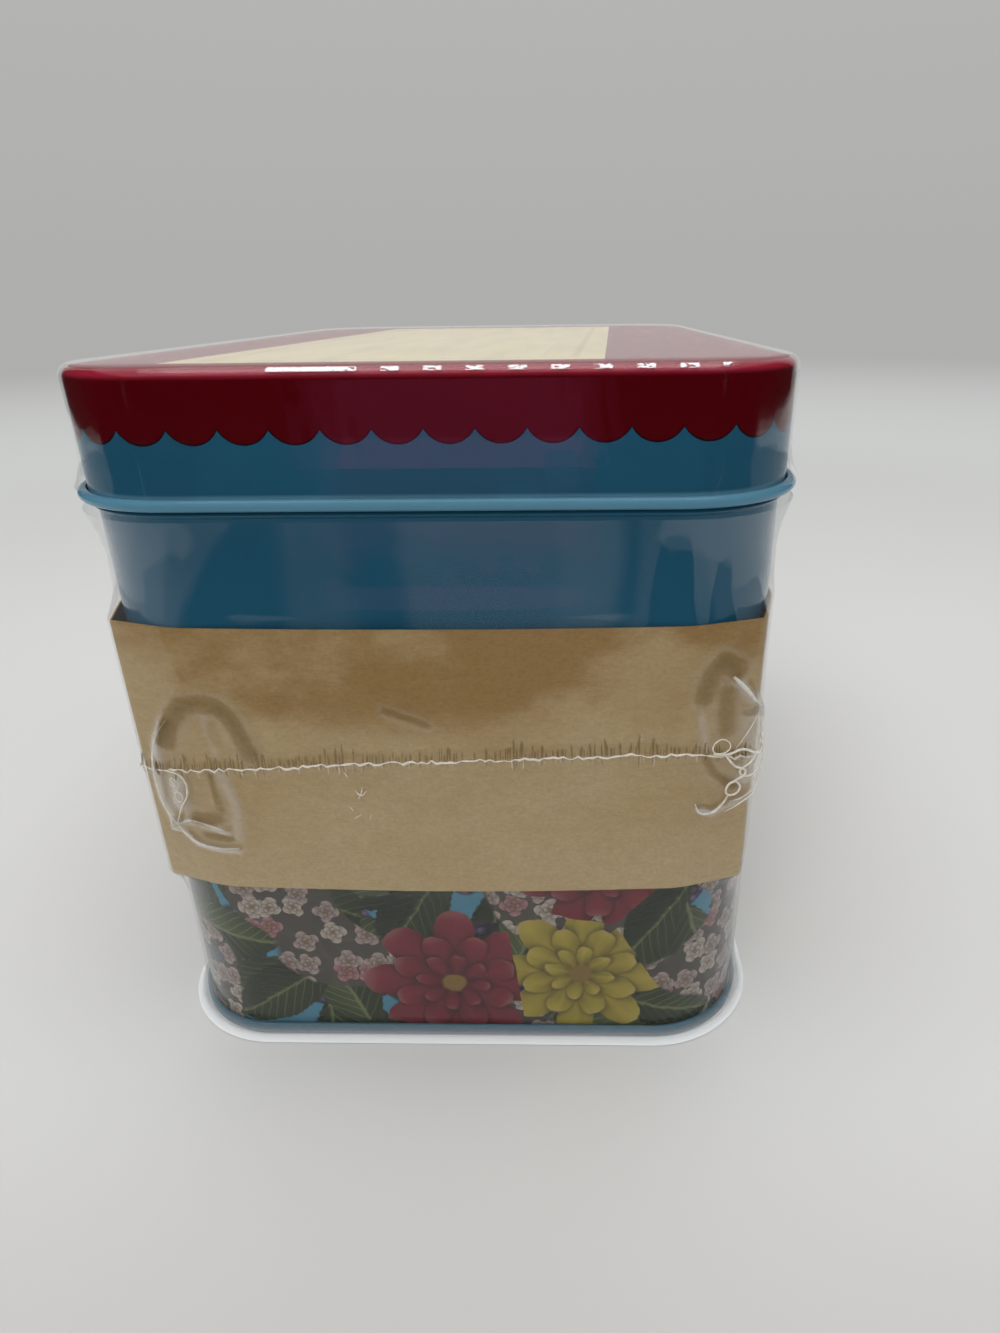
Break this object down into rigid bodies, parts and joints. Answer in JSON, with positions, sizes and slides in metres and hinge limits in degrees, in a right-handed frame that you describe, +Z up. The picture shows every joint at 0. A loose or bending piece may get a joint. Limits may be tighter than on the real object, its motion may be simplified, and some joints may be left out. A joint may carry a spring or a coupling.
{
  "type": "recipe card box",
  "caption": "Printed tin box with a hinged lid for index-size recipe cards, holding cards and tabbed dividers, in a paper belly band and clear shrink film",
  "frame": {"origin": "centre of the box's footprint, on the surface it stands on", "axes": "+X along the long side, +Y towards the hinge at the back, +Z up"},
  "size_m": [0.1696, 0.1106, 0.1185],
  "materials": {
    "body_tin": "satin lithographed print",
    "lid_tin": "satin lithographed print",
    "steel": "bright drawn",
    "band_paper": "matte uncoated",
    "film": "clear gloss",
    "divider_board": "matte",
    "card_paper": "matte"
  },
  "bodies": {
    "tin": {"body_wall": "body_tin", "bottom_end": "body_tin", "hinge_wire": "steel", "hinge_ear_left": "steel", "hinge_ear_right": "steel", "paper_band": "band_paper", "film_body": "film", "divider_4": "divider_board", "divider_5": "divider_board", "divider_6": "divider_board", "recipe_card_13": "card_paper", "recipe_card_14": "card_paper", "recipe_card_15": "card_paper", "recipe_card_16": "card_paper", "recipe_card_17": "card_paper", "recipe_card_18": "card_paper", "recipe_card_19": "card_paper", "recipe_card_20": "card_paper", "recipe_card_21": "card_paper", "recipe_card_22": "card_paper", "recipe_card_23": "card_paper", "recipe_card_24": "card_paper"},
    "lid": {"lid_shell": "lid_tin", "film_lid": "film"},
    "front_cards": {"divider_1": "divider_board", "divider_2": "divider_board", "divider_3": "divider_board", "recipe_card_01": "card_paper", "recipe_card_02": "card_paper", "recipe_card_03": "card_paper", "recipe_card_04": "card_paper", "recipe_card_05": "card_paper", "recipe_card_06": "card_paper", "recipe_card_07": "card_paper", "recipe_card_08": "card_paper", "recipe_card_09": "card_paper", "recipe_card_10": "card_paper", "recipe_card_11": "card_paper", "recipe_card_12": "card_paper"}
  },
  "joints": [
    {"name": "lid_hinge", "type": "hinge", "parent": "tin", "child": "lid", "pos_m": [0, 0.05415, 0.10035], "axis": [-1, 0, 0], "range_deg": [0, 105]},
    {"name": "front_cards_tilt", "type": "hinge", "parent": "tin", "child": "front_cards", "pos_m": [0, 0.01758, 0.0033], "axis": [1, 0, 0], "range_deg": [0, 36]}
  ]
}
